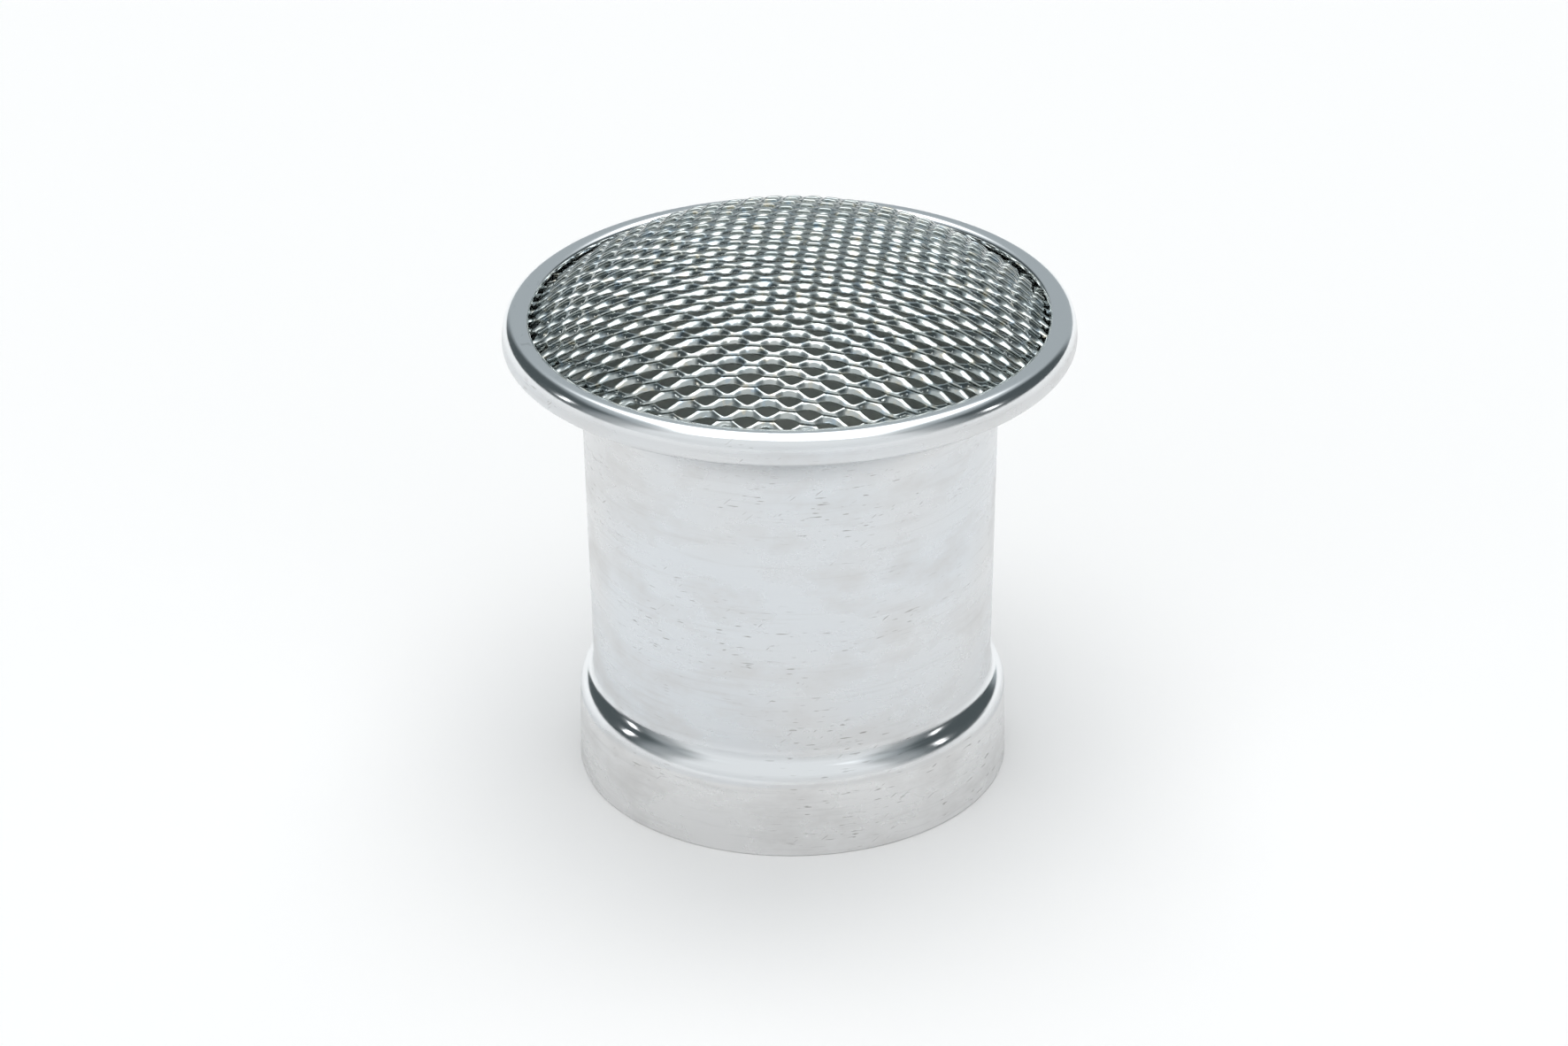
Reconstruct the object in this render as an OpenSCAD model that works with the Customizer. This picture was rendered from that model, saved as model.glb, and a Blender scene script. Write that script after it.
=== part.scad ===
// Intake funnel with a domed mesh screen
//
// A spun aluminium funnel: a socket collar at the foot slips over a round spigot,
// a rounded shoulder narrows it to a plain tube, and the tube opens into a bell
// mouth. The outer edge of the bell is turned up and rolled over into a lip that
// traps the edge of a domed screen of expanded metal.
//
// Millimetres, +Z up. The origin is the centre of the foot, and +Z is the axis.

/* [Socket collar] */
// Bore of the socket that slips over the spigot
socket_d = 60; // [50:0.5:80]
// Depth of the straight bore, up to the shoulder
socket_depth = 11; // [8:0.5:20]
// Outside diameter of the collar at the foot
collar_d_foot = 62.8; // [62.4:0.1:64]
// Outside diameter of the collar at the shoulder
collar_d_top = 62.3; // [62:0.1:63]
// Break on the sharp edges of the foot
foot_break = 0.2; // [0.1:0.05:0.4]

/* [Tube] */
// Outside diameter just above the shoulder
tube_d_low = 58.1; // [56:0.1:59]
// Outside diameter where the bell begins
tube_d_high = 59.3; // [58:0.1:60]
// Sheet thickness of the tube and the bell
sheet = 1.4; // [1:0.1:2]
// Radius of the outer bend at the top of the collar
shoulder_out_r = 4.2; // [3.5:0.1:5]
// Radius of the inner bend at the foot of the tube
shoulder_in_r = 3; // [2.5:0.1:4]

/* [Bell mouth and rim] */
// Radius of the bell on its under side
bell_r = 10.2; // [9.5:0.1:10.6]
// Height of the ledge under the rim
ledge_z = 66.8; // [60:0.1:80]
// Largest outside diameter of the rim
rim_d = 81.3; // [81:0.1:83]
// Bend at the lower edge of the rim
rim_corner_r = 0.9; // [0.6:0.1:1.2]
// Height of the slightly bowed skirt of the rim
rim_skirt_h = 1.9; // [1.5:0.1:2.5]
// Outer radius of the roll at the top of the rim
rim_roll_r = 2.2; // [2:0.1:2.6]
// Sheet thickness where the rim is rolled
rim_sheet = 1.1; // [0.9:0.1:1.3]
// How far past the top the lip is rolled, in degrees
lip_turn = 34; // [20:1:40]

/* [Mesh screen] */
// Height of the top of the dome
dome_top_z = 82.1; // [81.8:0.1:82.4]
// Radius of the crown, the flatter middle of the dome
crown_r = 77.2; // [72:0.1:84]
// Radius of the flank, the rounder part outside the crown
flank_r = 54.9; // [54:0.1:56]
// Height at which the flank's ball would top out
flank_top_z = 83.8; // [83.6:0.1:84]
// Overall thickness of the expanded metal
mesh_t = 1.2; // [0.8:0.1:1.4]
// Long pitch of the mesh at the crown, along X
mesh_long = 5.61; // [5.4:0.01:6]
// Short pitch of the mesh at the crown, along Y
mesh_short = 3.59; // [3.4:0.01:4]
// Width of one strand, seen from above
strand = 0.75; // [0.7:0.01:0.85]
// Length of the bond between two openings of a row
bond = 2.2; // [1.8:0.1:2.4]
// Where the pattern's centre falls, along X
mesh_shift_x = 0.79; // [0:0.01:2.7]
// Where the pattern's centre falls, along Y
mesh_shift_y = -1.01; // [-1.7:0.01:1.7]
// Height of the crushed edge held in the rim
brim_h = 1.7; // [1.2:0.1:1.7]

/* [Hidden] */
$fn = 96;
skin = [0.80, 0.81, 0.82];
zinc = [0.62, 0.63, 0.62];
bend_steps = 10;
bell_steps = 18;

// Radii of the outer surface
foot_r = collar_d_foot / 2;
collar_r = collar_d_top / 2;
low_r = tube_d_low / 2;
high_r = tube_d_high / 2;
rim_r = rim_d / 2;

// Shoulder: two opposite bends that meet at one slope
turn_out = acos(1 - (collar_r - low_r) / (shoulder_out_r + shoulder_in_r));
shoulder_top = socket_depth + (shoulder_out_r + shoulder_in_r) * sin(turn_out);
bore_r = socket_d / 2;
in_out_r = shoulder_out_r - sheet;
in_in_r = shoulder_in_r + sheet;
turn_in = acos(1 - (bore_r - (low_r - sheet)) / (in_out_r + in_in_r));
seat_top = socket_depth + (in_out_r + in_in_r) * sin(turn_in);

// Bell: a quarter bend whose centre lies outside the tube
bell_x = high_r + bell_r;
bell_z = ledge_z - bell_r;

// Rim: corner, bowed skirt and roll
corner_x = rim_r - rim_corner_r;
corner_z = ledge_z + rim_corner_r;
bow = 14;
bow_r = rim_skirt_h / sin(bow);
bow_x = rim_r - bow_r;
roll_x = bow_x + (bow_r - rim_roll_r) * cos(bow);
roll_z = corner_z + (bow_r - rim_roll_r) * sin(bow);
skirt_in = rim_r - rim_sheet;
shelf_z = bell_z + sqrt(pow(bell_r + sheet, 2) - pow(bell_x - skirt_in, 2));

// Screen: the dome ends in a flat brim that lies on the shelf
brim_z = shelf_z + 0.03;
brim_r = roll_x + 0.6;
brim_in = brim_r - 2.7;
dome_edge = brim_in + 0.6;
open_r = brim_in - 0.5;

// Pressing the dome draws the pattern in toward the rim, more so far from its middle
draw_xx = 0.000051;
draw_yx = 0.000116;
draw_yy = 0.000069;

// Points of an arc around (x, z), from angle a to angle b
function arc(x, z, r, a, b, n) = [
    for (i = [0 : n]) [x + r * cos(a + (b - a) * i / n), z + r * sin(a + (b - a) * i / n)]
];

function outside() = concat(
    [[foot_r - foot_break, 0], [foot_r, foot_break]],
    arc(collar_r - shoulder_out_r, socket_depth, shoulder_out_r, 0, turn_out, bend_steps),
    arc(low_r + shoulder_in_r, shoulder_top, shoulder_in_r, 180 + turn_out, 180, bend_steps),
    arc(bell_x, bell_z, bell_r, 180, 90, bell_steps),
    arc(corner_x, corner_z, rim_corner_r, -90, 0, bend_steps),
    arc(bow_x, corner_z, bow_r, 2, bow, 6),
    arc(roll_x, roll_z, rim_roll_r, bow + 6, 90 + lip_turn, bell_steps)
);

function inside() = concat(
    arc(roll_x, roll_z, rim_roll_r - rim_sheet, 90 + lip_turn, bow, bell_steps),
    [[skirt_in, corner_z + rim_skirt_h / 2], [skirt_in, shelf_z]],
    arc(bell_x, bell_z, bell_r + sheet, 93, 180, bell_steps),
    arc(low_r + shoulder_in_r, seat_top, in_in_r, 180, 180 + turn_in, bend_steps),
    arc(bore_r - in_out_r, socket_depth, in_out_r, turn_in, 0, bend_steps),
    [[bore_r, foot_break], [bore_r + foot_break, 0]]
);

module funnel_body()
color(skin)
rotate_extrude() polygon(concat(outside(), inside()));

// The crown's ball and the flank's ball, whichever is lower
module two_balls(inset)
intersection() {
    translate([0, 0, dome_top_z - crown_r]) sphere(crown_r - inset);
    translate([0, 0, flank_top_z - flank_r]) sphere(flank_r - inset);
}

module dome()
intersection() {
    difference() {
        two_balls(0);
        two_balls(mesh_t);
    }
    translate([0, 0, brim_z]) cylinder(h = dome_top_z, r = dome_edge);
}

// The flat edge of the screen, between the bell and the rolled lip
module brim()
translate([0, 0, brim_z]) difference() {
    cylinder(h = brim_h, r = brim_r);
    translate([0, 0, -1]) cylinder(h = brim_h + 2, r = brim_in);
}

// Where a point of the flat sheet goes, and how much its surroundings shrink, in X and Y
function drawn(x, y) = [
    x * (1 - draw_xx * x * x),
    y * (1 - draw_yx * x * x - draw_yy * y * y)
];
function shrunk(x, y) = [
    1 - 3 * draw_xx * x * x,
    1 - draw_yx * x * x - 3 * draw_yy * y * y
];

// One opening of the mesh, a lozenge with a blunt top and bottom
module opening(w, h)
polygon([[-w, 0], [-w * 0.3, -h], [w * 0.3, -h], [w, 0], [w * 0.3, h], [-w * 0.3, h]]);

module openings() {
    w = (mesh_long - bond) / 2;
    h = mesh_short / 2 - strand;
    rows = ceil(1.2 * open_r / mesh_short) * 2;
    cols = ceil(1.2 * open_r / mesh_long);
    for (j = [-rows : rows], i = [-cols : cols]) {
        x = (i + (abs(j) % 2) / 2) * mesh_long + mesh_shift_x;
        y = j * mesh_short / 2 + mesh_shift_y;
        if (norm(drawn(x, y)) < open_r)
            translate(drawn(x, y)) opening(w * shrunk(x, y)[0], h * shrunk(x, y)[1]);
    }
}

module mesh_screen()
color(zinc) {
    difference() {
        dome();
        translate([0, 0, ledge_z - 5]) linear_extrude(40) openings();
    }
    brim();
}

funnel_body();
mesh_screen();
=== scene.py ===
"""Looks for a spun aluminium intake funnel with a domed screen of expanded metal.

Everything is in the part's own frame: metres, +Z up along the funnel's axis, the long
pitch of the mesh along X. Sizes below are in millimetres and are turned into metres
where a mesh is made. The funnel is one turned profile. The screen is a set of strands
that weave between low arches and raised bonds, as a slit and stretched sheet does.
"""
from math import acos, cos, pi, radians, sin, sqrt

import bpy
import numpy as np
from mathutils import Matrix, Vector


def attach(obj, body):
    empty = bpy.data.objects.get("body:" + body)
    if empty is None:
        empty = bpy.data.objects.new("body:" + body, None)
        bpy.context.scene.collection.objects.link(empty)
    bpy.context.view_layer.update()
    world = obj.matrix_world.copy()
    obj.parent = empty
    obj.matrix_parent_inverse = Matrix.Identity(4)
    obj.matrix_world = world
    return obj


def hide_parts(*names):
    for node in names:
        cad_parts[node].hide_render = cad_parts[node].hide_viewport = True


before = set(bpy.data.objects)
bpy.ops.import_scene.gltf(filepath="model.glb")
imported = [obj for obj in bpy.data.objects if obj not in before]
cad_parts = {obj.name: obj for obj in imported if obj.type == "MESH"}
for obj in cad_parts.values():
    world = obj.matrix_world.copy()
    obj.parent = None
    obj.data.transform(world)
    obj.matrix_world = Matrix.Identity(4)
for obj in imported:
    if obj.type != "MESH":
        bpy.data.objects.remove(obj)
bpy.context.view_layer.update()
MM = 0.001
rng = np.random.default_rng(11)

# ---------------------------------------------------------------- sizes, in mm

# funnel: collar, shoulder and tube
FOOT_R, COLLAR_R, BORE_R = 31.4, 31.15, 30.0
SOCKET_DEPTH = 11.0
TUBE_LOW_R, TUBE_HIGH_R = 29.05, 29.65
SHEET = 1.4
SHOULDER_OUT, SHOULDER_IN = 4.2, 3.0
FOOT_ROUND, BORE_ROUND = 0.25, 0.2

# funnel: bell mouth, ledge, bowed skirt and rolled lip; SHELF_TURN is where the inside of
# the bell meets the shelf, and inward faces below SHELF_TOP are dull and get a darker tone, painted
# shade
BELL_R, LEDGE_Z = 10.2, 66.8
SHELF_TURN = radians(93)
RIM_R, CORNER_R = 40.65, 0.9
SKIRT_H, SKIRT_BOW = 1.9, radians(14)
ROLL_R, RIM_SHEET = 2.2, 1.1
LIP_TURN = radians(34)
SHELF_TOP = 69.5
FUNNEL_SIDES = 256

# screen: pitches, where the pattern's centre falls, how pressing draws it in, and half the
# number of strands and of cells along each
LONG, SHORT = 5.61, 3.59
SHIFT_X, SHIFT_Y = 0.79, -1.01
DRAW_XX, DRAW_YX, DRAW_YY = 0.000051, 0.000116, 0.000069
ROWS, COLUMNS = 26, 10

# screen: height of its middle, how far it drops at MEASURE_R, and the flat edge
DOME_MID = 81.42
MEASURE_R, ROUND_DROP, FLANK_DROP = 36.0, 6.68, 5.37
BRIM_MID, BRIM_BLEND = 68.75, 0.22
EDGE_R = 38.2
CRUSHED_R, CRUSHED_Z = (36.0, 38.6), (68.3, 68.8)
CRUSHED_SIDES = 192

# strand: thickness, how far it sits off its row's line, and the fewest sections kept
STRAND_T = 0.46
CUSP_UP = 0.26
FEWEST = 4
# strand, along Y: its edges at an arch and at a vee, where the upper edge leaves the arch
# and the lower one reaches the vee, and how bent the legs between are
ARCH_TOP, ARCH_UNDER = 1.78, 0.83
VEE_TOP, VEE_UNDER = 0.54, -0.015
CUSP_NEAR, CUSP_FAR = 1.08, 1.80
LEG_BEND, UNDER_BEND = 1.55, 1.7
# strand, out of the sheet: its edges at an arch and at a vee, and where each one climbs
ARCH_FOOT, ARCH_SEAM, VEE_SEAM, VEE_HEAD = -0.385, 0.085, 0.32, 0.38
UPPER_CLIMB, LOWER_CLIMB = (0.9, 2.2), (0.5, 2.1)
SHOULDER_DIP, DIP_START = 0.04, 0.1
# section: crown of the face and rounding of its corners, at an arch and at a vee, where
# the one changes into the other, and places on the crown and on a rounded corner as shares
ARCH_CROWN, VEE_CROWN = 0.01, 0.03
HIGH_CORNERS, LOW_CORNERS = (0.08, 0.09), (0.13, 0.17)
SECTION_CHANGE = (0.6, 2.5)
CROWN_SHARE = 0.3
ROUND_NEAR, ROUND_FAR = 0.13, 0.50
# random unevenness, in mm, drawn at every so many sections
WOBBLE, WOBBLE_STEP = 0.02, 4
# places along a strand, from an arch's middle, where it has a section
STATIONS = (0, 0.45, 0.85, 1.12, 1.45, 1.755, 2.1, 2.4, 2.62)

# ---------------------------------------------------------------- surfaces, in metres and tones

SHARP = radians(35)
SATIN_COOL, SATIN_PLAIN = (0.70, 0.725, 0.75, 1), (0.70, 0.705, 0.71, 1)
COLLAR_TONE, POLISH_TONE = (0.80, 0.80, 0.80, 1), (0.92, 0.94, 0.955, 1)
SMUDGE_TONE, STREAK_TONE = (0.62, 0.61, 0.60, 1), (0.57, 0.57, 0.57, 1)
SCRATCH_TONE = (0.30, 0.29, 0.28, 1)
# tones of the funnel's inside: darker than the outside as painted shade, in random green and warm
# patches
INSIDE_SHADE_GREEN, INSIDE_SHADE_WARM = (0.56, 0.60, 0.59, 1), (0.68, 0.70, 0.67, 1)
ZINC_DARK, ZINC_LIGHT = (0.47, 0.52, 0.52, 1), (0.60, 0.63, 0.61, 1)
ZINC_YELLOW, ZINC_BLUE = (0.68, 0.62, 0.48, 1), (0.42, 0.53, 0.63, 1)
RIM_POLISH = (0.0688, 0.0702)
SHOULDER_POLISH, SHOULDER_END = (0.0116, 0.0130), (0.0144, 0.0154)
COLLAR_TOP = (0.0108, 0.0114)

FLOOR_HALF, FLOOR_TONE, FLOOR_ROUGH = 3.0, (0.97, 0.965, 0.96, 1), 0.9
WALL, FRONT_WALL = (0.37, 0.41, 0.43, 1), (0.76, 0.78, 0.79, 1)
DARK_CORNER, OVERHEAD_TONE, OVERHEAD = (0.07, 0.085, 0.09, 1), (1, 1, 1, 1), 2.7
LAMP_AWAY, LAMP_HEIGHT, LAMP_AIM = 1.2, 0.42, (0, 0, 0.05)
LAMP_SIZE, LAMP_POWER = (0.09, 0.24), 0.2

CAMERA_AWAY, CAMERA_HEIGHT = 0.5852, 0.3482
CAMERA_TURN, CAMERA_PITCH = radians(6.6), radians(28.0)
CAMERA_ROLL, CAMERA_YAW = radians(-0.5), radians(-0.1)
LENS, SENSOR = 105.3, 36


# ---------------------------------------------------------------- mesh helpers

def add_mesh(name, verts, faces, slot, node, smooth_angle=None):
    """A piece of the object from points in mm, standing for a CAD node."""
    mesh = bpy.data.meshes.new(name)
    mesh.from_pydata([tuple(v) for v in np.asarray(verts) * MM], [], faces)
    mesh.validate()
    mesh.update()
    mesh.polygons.foreach_set("use_smooth", [True] * len(mesh.polygons))
    if smooth_angle:
        mesh.set_sharp_from_angle(angle=smooth_angle)
    obj = bpy.data.objects.new(name, mesh)
    bpy.context.scene.collection.objects.link(obj)
    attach(obj, "root")
    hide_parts(node)
    return obj


def arc(x, z, r, a, b, n):
    """Points of an arc around (x, z), from angle a to angle b, in n steps."""
    t = np.linspace(a, b, n + 1)
    return np.stack([x + r * np.cos(t), z + r * np.sin(t)], axis=1)


def quads(base, rings, corners, closed):
    """Faces between rings of points, each as (a, b) on one ring and (c, d) on the next.

    The points are numbered from base on; closed also joins the last ring to the first.
    """
    found = []
    for i in range(rings if closed else rings - 1):
        near, far = base + i * corners, base + (i + 1) % rings * corners
        for j in range(corners):
            k = (j + 1) % corners
            found.append((near + j, near + k, far + k, far + j))
    return found


def share(u, start, stop):
    """Runs straight from 0 at start to 1 at stop."""
    return np.clip((u - start) / (stop - start), 0, 1)


def ease(u, start, stop):
    """Runs smoothly from 0 at start to 1 at stop."""
    k = share(u, start, stop)
    return k * k * (3 - 2 * k)


# ---------------------------------------------------------------- funnel body

def funnel_profile():
    """The closed section of the funnel: up the outside, over the rim, down the inside."""
    half = pi / 2
    turn_out = acos(1 - (COLLAR_R - TUBE_LOW_R) / (SHOULDER_OUT + SHOULDER_IN))
    top_out = SOCKET_DEPTH + (SHOULDER_OUT + SHOULDER_IN) * sin(turn_out)
    out_in, in_in = SHOULDER_OUT - SHEET, SHOULDER_IN + SHEET
    turn_in = acos(1 - (BORE_R - TUBE_LOW_R + SHEET) / (out_in + in_in))
    top_in = SOCKET_DEPTH + (out_in + in_in) * sin(turn_in)
    bell_x, bell_z = TUBE_HIGH_R + BELL_R, LEDGE_Z - BELL_R
    corner_z = LEDGE_Z + CORNER_R
    bow_r = SKIRT_H / sin(SKIRT_BOW)
    bow_x = RIM_R - bow_r
    roll_x = bow_x + (bow_r - ROLL_R) * cos(SKIRT_BOW)
    roll_z = corner_z + (bow_r - ROLL_R) * sin(SKIRT_BOW)
    skirt_in = RIM_R - RIM_SHEET
    lip = half + LIP_TURN
    lip_x = roll_x + (ROLL_R - RIM_SHEET / 2) * cos(lip)
    lip_z = roll_z + (ROLL_R - RIM_SHEET / 2) * sin(lip)
    shelf = bell_z + sqrt((BELL_R + SHEET) ** 2 - (bell_x - skirt_in) ** 2)
    return np.concatenate([
        arc(FOOT_R - FOOT_ROUND, FOOT_ROUND, FOOT_ROUND, -half, 0, 4),
        arc(COLLAR_R - SHOULDER_OUT, SOCKET_DEPTH, SHOULDER_OUT, 0, turn_out, 18),
        arc(TUBE_LOW_R + SHOULDER_IN, top_out, SHOULDER_IN, pi + turn_out, pi, 16)[1:],
        arc(bell_x, bell_z, BELL_R, pi, half, 30),
        arc(RIM_R - CORNER_R, corner_z, CORNER_R, -half, 0, 8),
        arc(bow_x, corner_z, bow_r, 0, SKIRT_BOW, 8)[1:],
        arc(roll_x, roll_z, ROLL_R, SKIRT_BOW, lip, 30)[1:],
        arc(lip_x, lip_z, RIM_SHEET / 2, lip, lip + pi, 8)[1:-1],
        arc(roll_x, roll_z, ROLL_R - RIM_SHEET, lip, SKIRT_BOW, 12),
        [[skirt_in, corner_z + SKIRT_H / 2], [skirt_in, shelf]],
        arc(bell_x, bell_z, BELL_R + SHEET, SHELF_TURN, pi, 24),
        arc(TUBE_LOW_R + SHOULDER_IN, top_in, in_in, pi, pi + turn_in, 12),
        arc(BORE_R - out_in, SOCKET_DEPTH, out_in, turn_in, 0, 12)[1:],
        arc(BORE_R + BORE_ROUND, BORE_ROUND, BORE_ROUND, pi, 1.5 * pi, 3),
    ])


def turned(profile, sides):
    """Turns a closed profile about the axis."""
    a = np.linspace(0, 2 * pi, sides, endpoint=False)
    verts = np.stack([np.outer(np.cos(a), profile[:, 0]),
                      np.outer(np.sin(a), profile[:, 0]),
                      np.tile(profile[:, 1], (sides, 1))], axis=2).reshape(-1, 3)
    return verts, [(a, d, c, b) for a, b, c, d in quads(0, sides, len(profile), True)]


# ---------------------------------------------------------------- mesh screen

def drawn(x, y):
    """Where pressing the dome takes a point of the flat sheet."""
    return (x * (1 - DRAW_XX * x * x),
            y * (1 - DRAW_YX * x * x - DRAW_YY * y * y))


def on_dome(x, y, h):
    """A point of the flat mesh, height h above its middle, laid on the dome."""
    x, y = drawn(x, y)
    r = np.maximum(np.hypot(x, y), 1e-6)
    k = r / MEASURE_R
    dome = DOME_MID - ROUND_DROP * k ** 2 - FLANK_DROP * k ** 4
    fall = -(2 * ROUND_DROP * k + 4 * FLANK_DROP * k ** 3) / MEASURE_R
    over = (dome - BRIM_MID) / BRIM_BLEND
    z = BRIM_MID + BRIM_BLEND * np.logaddexp(0, over)
    slope = fall / (1 + np.exp(-np.maximum(over, -40)))
    up = 1 / np.sqrt(1 + slope ** 2)
    out = r - h * slope * up
    return np.stack([x / r * out, y / r * out, z + h * up], axis=-1)


def strand_edges(u):
    """Both long edges of a strand, as (along Y, out of the sheet), at u from an arch's middle."""
    leg = 1 - (1 - share(u, CUSP_NEAR, LONG / 2)) ** LEG_BEND
    upper = (ARCH_TOP + (SHORT / 2 - ARCH_TOP) * ease(u, 0, CUSP_NEAR)
             + (VEE_TOP - SHORT / 2) * leg)
    lower = (ARCH_UNDER * (1 - share(u, 0, CUSP_FAR) ** UNDER_BEND)
             + VEE_UNDER * ease(u, CUSP_FAR, LONG / 2))
    upper_lift = (ARCH_SEAM - SHOULDER_DIP * ease(u, DIP_START, CUSP_NEAR)
                  + (VEE_HEAD - ARCH_SEAM + SHOULDER_DIP) * share(u, *UPPER_CLIMB))
    lower_lift = ARCH_FOOT + (VEE_SEAM - ARCH_FOOT) * share(u, *LOWER_CLIMB)
    return np.stack([upper, upper_lift]), np.stack([lower, lower_lift])


def section(width, crown, high, low):
    """Corners of a strand's section, as (across the strand, out of its face)."""
    w, t = width / 2, STRAND_T / 2
    under, edge = 0 * w - t, t + crown * CROWN_SHARE
    top, bottom = w - high, low - w
    ring = [(-w, under), (w, under), (w, t - high), (top, edge),
            ((top + bottom) / 2, t + crown), (bottom, edge),
            (ROUND_FAR * low - w, t - ROUND_NEAR * low),
            (ROUND_NEAR * low - w, t - ROUND_FAR * low), (-w, t - low)]
    return (np.stack(side, axis=1) for side in zip(*ring))


def screen_strand(row):
    """The sections of one strand that lie inside the rim, each a ring of points."""
    row_y = row * SHORT / 2 + SHIFT_Y + CUSP_UP
    arch_x = SHIFT_X + (row % 2) / 2 * LONG
    near = np.array(STATIONS)
    cell = np.concatenate([near, [LONG / 2], LONG - near[:0:-1]])
    x = np.concatenate([cell + arch_x + n * LONG for n in range(-COLUMNS, COLUMNS)])
    from_arch = np.abs((x - arch_x + LONG / 2) % LONG - LONG / 2)
    upper, lower = strand_edges(from_arch)
    change = ease(from_arch, *SECTION_CHANGE)
    draws = rng.standard_normal((3, len(x) // WOBBLE_STEP + 2)) * WOBBLE
    wobble = np.array([np.interp(np.arange(len(x)), WOBBLE_STEP * np.arange(draw.size), draw)
                       for draw in draws])
    middle = (upper + lower) / 2 + wobble[:2]
    width = np.hypot(*(upper - lower))
    along = ((upper - lower) / width)[:, :, None]
    shape = (arch + (vee - arch) * change
             for arch, vee in ((ARCH_CROWN, VEE_CROWN), HIGH_CORNERS, LOW_CORNERS))
    across, out = section(width + wobble[2], *shape)
    y = row_y + middle[0][:, None] + across * along[0] - out * along[1]
    rise = middle[1][:, None] + across * along[1] + out * along[0]
    points = on_dome(x[:, None] + 0 * y, y, rise)
    inside = np.hypot(points[:, :, 0], points[:, :, 1]).max(axis=1) < EDGE_R
    kept = np.flatnonzero(inside)
    return points[kept[0]:kept[-1] + 1] if len(kept) >= FEWEST else points[:0]


def screen_strands():
    """Every strand of the screen, each closed at both ends."""
    verts, faces = [], []
    for row in range(-ROWS, ROWS + 1):
        strand = screen_strand(row)
        if not len(strand):
            continue
        base, (rings, corners) = len(verts), strand.shape[:2]
        verts.extend(strand.reshape(-1, 3))
        faces.extend(quads(base, rings, corners, False))
        faces.append(tuple(base + j for j in reversed(range(corners))))
        faces.append(tuple(base + (rings - 1) * corners + j for j in range(corners)))
    return np.array(verts), faces


def crushed_edge(verts, faces):
    """The pressed-flat edge of the sheet, under the strands' ends, added to the mesh."""
    turns = np.linspace(0, 2 * pi, CRUSHED_SIDES, endpoint=False)
    (inner, outer), (foot, top) = CRUSHED_R, CRUSHED_Z
    corners = ((inner, foot), (outer, foot), (outer, top), (inner, top))
    ring = [(r * np.cos(a), r * np.sin(a), z) for a in turns for r, z in corners]
    faces.extend((a, d, c, b) for a, b, c, d in quads(len(verts), CRUSHED_SIDES, 4, True))
    return np.concatenate([verts, ring]), faces


# ---------------------------------------------------------------- materials

class Graph:
    """The nodes of a material or a world, with short ways to add and join them."""

    def __init__(self, owner):
        owner.use_nodes = True
        self.nodes = owner.node_tree.nodes
        self.links = owner.node_tree.links

    def feed(self, socket, value):
        """Gives a socket a fixed value, or the output of another node."""
        if isinstance(value, bpy.types.NodeSocket):
            self.links.new(value, socket)
        else:
            socket.default_value = value

    def add(self, kind, inputs, **settings):
        """A new node, with its settings made and its inputs fed."""
        node = self.nodes.new("ShaderNode" + kind)
        for name, value in settings.items():
            setattr(node, name, value)
        for name, value in inputs.items():
            self.feed(node.inputs[name], value)
        return node

    def coordinates(self, kind):
        """Where a point is: on the object, or as a direction."""
        return self.nodes.new("ShaderNodeTexCoord").outputs[kind]

    def axes(self, place):
        """The x, y and z of a place."""
        return self.add("SeparateXYZ", {0: place}).outputs

    def noise(self, place, scale, detail=3.0, rough=0.55):
        """Soft noise from 0 to 1; scale is one number, or one for each axis."""
        if isinstance(scale, tuple):
            place = self.add("VectorMath", {0: place, 1: scale}, operation="MULTIPLY").outputs[0]
            scale = 1.0
        return self.add("TexNoise", {"Vector": place, "Scale": scale, "Detail": detail,
                                     "Roughness": rough}).outputs["Fac"]

    def ramp(self, value, low, high, out_low=0.0, out_high=1.0, kind="LINEAR"):
        """Runs from out_low where value is low to out_high where it is high."""
        return self.add("MapRange", {"Value": value, "From Min": low, "From Max": high,
                                     "To Min": out_low, "To Max": out_high},
                        interpolation_type=kind).outputs["Result"]

    def fade(self, value, low, high, out_low=0.0, out_high=1.0):
        """A ramp that starts and ends softly."""
        return self.ramp(value, low, high, out_low, out_high, "SMOOTHSTEP")

    def math(self, operation, a, b=0):
        """Two values combined by an operation."""
        return self.add("Math", {0: a, 1: b}, operation=operation).outputs[0]

    def both(self, a, b):
        """The part that two masks share."""
        return self.math("MULTIPLY", a, b)

    def mix(self, mask, a, b):
        """Colour a, turning into colour b where the mask is 1."""
        return self.add("Mix", {"Factor": mask, "A": a, "B": b}, data_type="RGBA").outputs["Result"]

    def surface(self, tone, rough, metallic=0.0):
        """Feeds the surface its colour, its roughness and how metallic it is."""
        inputs = self.nodes["Principled BSDF"].inputs
        self.feed(inputs["Base Color"], tone)
        self.feed(inputs["Roughness"], rough)
        self.feed(inputs["Metallic"], metallic)

    def bump(self, height, strength, distance):
        """Fine relief on the surface."""
        node = self.add("Bump", {"Height": height, "Strength": strength, "Distance": distance})
        self.feed(self.nodes["Principled BSDF"].inputs["Normal"], node.outputs["Normal"])


def new_material(name):
    """A material and its graph."""
    material = bpy.data.materials.new(name)
    return material, Graph(material)


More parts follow.
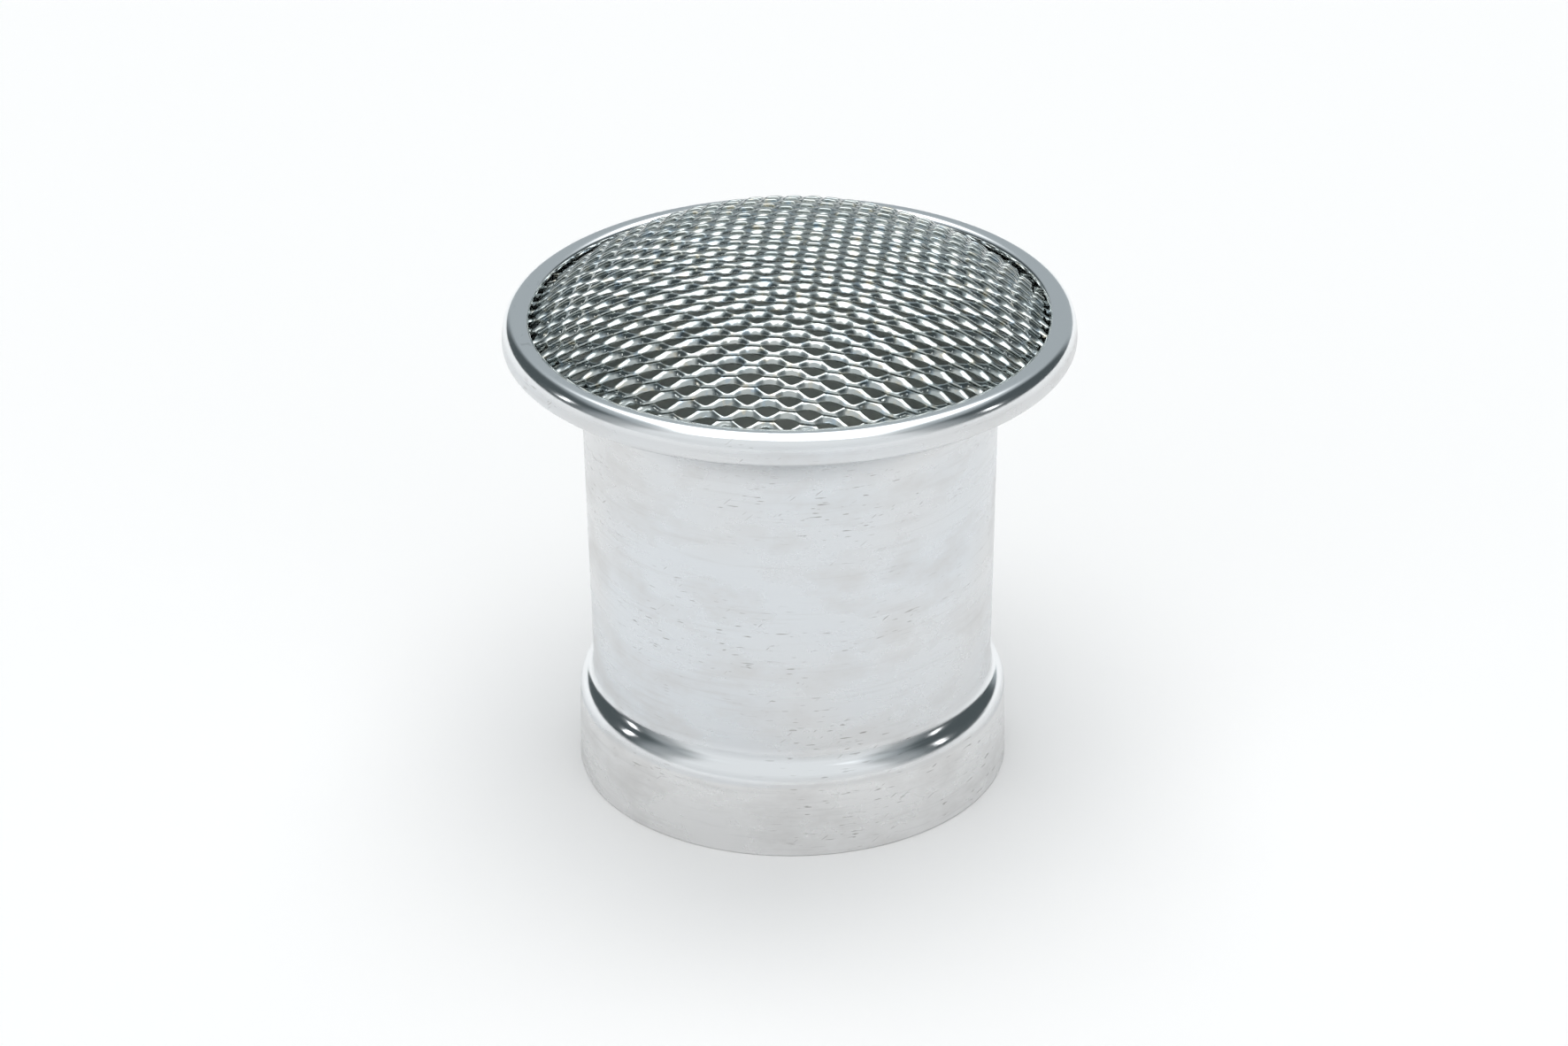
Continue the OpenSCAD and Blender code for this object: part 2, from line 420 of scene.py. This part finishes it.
def turned_aluminium():
    """Spun sheet: satin on the tube and collar, polished on the rim and the shoulder.

    Noise that is much finer along Z than across makes rings round the axis.
    """
    material, g = new_material("spun_aluminium")
    place = g.coordinates("Object")
    height = g.axes(place)["Z"]

    rings = g.noise(place, (60, 60, 6000), 4.0)
    bands = g.noise(place, (20, 20, 220))
    brushed = g.noise(place, (70, 70, 1500))
    cloud = g.noise(place, (26, 26, 34), 2.0)
    smudge = g.noise(place, (75, 75, 150), 5.0, 0.65)
    worn = g.ramp(g.noise(place, (45, 45, 60), 2.0), 0.46, 0.62)
    shoulder = g.both(g.ramp(height, *SHOULDER_POLISH), g.ramp(height, *SHOULDER_END, 1.0, 0.0))
    shine = g.math("MAXIMUM", g.ramp(height, *RIM_POLISH), shoulder)
    satin = g.ramp(shine, 0, 1, 1, 0)

    tone = g.mix(g.ramp(cloud, 0.40, 0.60), SATIN_COOL, SATIN_PLAIN)
    tone = g.mix(g.both(g.ramp(height, *COLLAR_TOP, 1.0, 0.0), satin), tone, COLLAR_TONE)
    tone = g.mix(shine, tone, POLISH_TONE)
    tone = g.mix(g.both(g.ramp(smudge, 0.48, 0.68, 0.0, 0.5), satin), tone, SMUDGE_TONE)
    tone = g.mix(g.both(g.ramp(brushed, 0.55, 0.75, 0.0, 0.35), satin), tone, STREAK_TONE)

    # short nicks round the tube, and a few slanting scratches
    nicks = g.both(g.ramp(g.noise(place, (430, 430, 3800), 1.0), 0.69, 0.74), worn)
    tilted = g.add("Mapping", {"Rotation": (0.3, 0.7, 0), "Vector": place}).outputs[0]
    slant = g.both(g.ramp(g.noise(tilted, (330, 330, 4200), 1.0), 0.745, 0.775), worn)
    marks = g.both(g.math("MAXIMUM", nicks, slant), g.ramp(shine, 0, 1, 0.85, 0.25))
    tone = g.mix(marks, tone, SCRATCH_TONE)

    satin_rough = g.math("ADD", g.ramp(bands, 0.3, 0.7, 0.22, 0.30),
                         g.ramp(smudge, 0.45, 0.75, 0.0, 0.14))
    polish_rough = g.ramp(bands, 0.3, 0.7, 0.10, 0.17)
    rough = g.add("Mix", {"Factor": shine, "A": satin_rough, "B": polish_rough})
    g.surface(tone, rough.outputs["Result"], 1.0)
    g.bump(rings, 0.35, 0.00002)
    return material


def dull_and_shaded_inside():
    """The inside of the funnel: the same sheet, unpolished, with a darker tone in random green and
    warm patches that paints the shade inside it.
    """
    material, g = new_material("dull_aluminium_painted_shade")
    place = g.coordinates("Object")
    inside_patches = g.noise(place, (60, 60, 240), 4.0)
    tone = g.mix(g.ramp(inside_patches, 0.35, 0.65), INSIDE_SHADE_GREEN, INSIDE_SHADE_WARM)
    g.surface(tone, g.ramp(inside_patches, 0.3, 0.7, 0.40, 0.55), 0.8)
    return material


def zinc():
    """Bright zinc plate, with the faint yellow and blue of its passivation."""
    material, g = new_material("zinc_plate")
    place = g.coordinates("Object")
    grain = g.noise(place, 2600.0)
    hue = g.noise(place, 700.0, 1.0)
    tone = g.mix(g.ramp(g.noise(place, 260.0, 2.0), 0.35, 0.65), ZINC_DARK, ZINC_LIGHT)
    tone = g.mix(g.ramp(hue, 0.60, 0.72, 0.0, 0.5), tone, ZINC_YELLOW)
    tone = g.mix(g.ramp(hue, 0.40, 0.28, 0.0, 0.5), tone, ZINC_BLUE)
    g.surface(tone, g.ramp(grain, 0.3, 0.7, 0.10, 0.22), 1.0)
    g.bump(grain, 0.4, 0.00003)
    return material


# ---------------------------------------------------------------- the pieces

outline = funnel_profile()
funnel = add_mesh("funnel_shell", *turned(outline, FUNNEL_SIDES), "aluminium", "funnel_body", SHARP)
funnel.data.materials.append(turned_aluminium())
funnel.data.materials.append(dull_and_shaded_inside())
# inward faces below SHELF_TOP take the second material, whose darker tone is painted shade
climb = np.roll(outline[:, 1], -1) - outline[:, 1]
shaded_inside_faces = (climb < 0) & (outline[:, 1] < SHELF_TOP)
funnel.data.polygons.foreach_set("material_index", np.tile(shaded_inside_faces, FUNNEL_SIDES).astype(np.int32))

screen = add_mesh("screen_mesh", *crushed_edge(*screen_strands()), "zinc_mesh", "mesh_screen")
screen.data.materials.append(zinc())


# ---------------------------------------------------------------- stage, light, camera

def stage_floor():
    """A pale floor that takes the shadow."""
    mesh = bpy.data.meshes.new("floor")
    s = FLOOR_HALF
    mesh.from_pydata([(-s, -s, 0), (s, -s, 0), (s, s, 0), (-s, s, 0)], [], [(0, 1, 2, 3)])
    floor = bpy.data.objects.new("floor", mesh)
    bpy.context.scene.collection.objects.link(floor)
    material, g = new_material("pale_floor")
    g.surface(FLOOR_TONE, FLOOR_ROUGH)
    mesh.materials.append(material)


def softbox(name, place):
    """An upright soft lamp, turned to the funnel."""
    light = bpy.data.lights.new(name, "AREA")
    light.shape = "RECTANGLE"
    light.size, light.size_y = LAMP_SIZE
    light.energy = LAMP_POWER
    obj = bpy.data.objects.new(name, light)
    obj.location = place
    obj.rotation_euler = (Vector(LAMP_AIM) - Vector(place)).to_track_quat("-Z", "Y").to_euler()
    bpy.context.scene.collection.objects.link(obj)


def studio_world():
    """A soft overhead light, a light wall in front and dark gaps at both sides.

    Polished metal shows all of it, so every part fades smoothly into the next. A fade
    runs between two values of the direction's x, y or z, and x counts both ways.
    """
    world = bpy.data.worlds.new("studio")
    bpy.context.scene.world = world
    g = Graph(world)
    axes = g.axes(g.coordinates("Generated"))
    x, y, z = g.math("ABSOLUTE", axes["X"]), axes["Y"], axes["Z"]

    front = g.fade(y, -0.60, -0.05, 1, 0)
    side = g.math("ADD", g.fade(y, -0.62, -0.40, 0, 0.5), g.fade(y, -0.28, -0.05, 0, 0.5))
    gap = g.both(g.both(g.fade(x, 0.50, 0.68), side), g.fade(z, 0.62, 0.80, 1, 0))
    above = g.both(g.both(g.fade(x, 0.32, 0.56, 1, 0), g.fade(y, -0.50, -0.33)),
                   g.both(g.fade(y, 0.42, 0.68, 1, 0), g.fade(z, 0.2, 0.5)))
    shade = g.mix(gap, g.mix(front, WALL, FRONT_WALL), DARK_CORNER)
    shade = g.mix(above, shade, OVERHEAD_TONE)
    background = g.nodes["Background"]
    g.feed(background.inputs["Color"], shade)
    g.feed(background.inputs["Strength"], g.ramp(above, 0, 1, 1, OVERHEAD))


def set_camera():
    """The photograph's camera: above the funnel, and a little to its right."""
    pitch, roll, yaw = CAMERA_PITCH, CAMERA_ROLL, CAMERA_YAW
    forward = Vector((sin(yaw) * cos(pitch), cos(yaw) * cos(pitch), -sin(pitch)))
    right = Vector((cos(yaw), -sin(yaw), 0))
    up = right.cross(forward)
    x_axis = right * cos(roll) + up * sin(roll)
    y_axis = up * cos(roll) - right * sin(roll)
    turn = Matrix((x_axis, y_axis, -forward)).transposed().to_4x4()
    place = Matrix.Translation((0, -CAMERA_AWAY, CAMERA_HEIGHT))
    data = bpy.data.cameras.new("camera")
    data.lens, data.sensor_width = LENS, SENSOR
    data.clip_start = 0.01
    camera = bpy.data.objects.new("camera", data)
    camera.matrix_world = Matrix.Rotation(CAMERA_TURN, 4, "Z") @ place @ turn
    bpy.context.scene.collection.objects.link(camera)
    bpy.context.scene.camera = camera


stage_floor()
studio_world()
for side, name in ((-1, "left"), (1, "right")):
    softbox(name, (side * LAMP_AWAY, 0, LAMP_HEIGHT))
set_camera()
bpy.context.scene.view_settings.view_transform = "Standard"
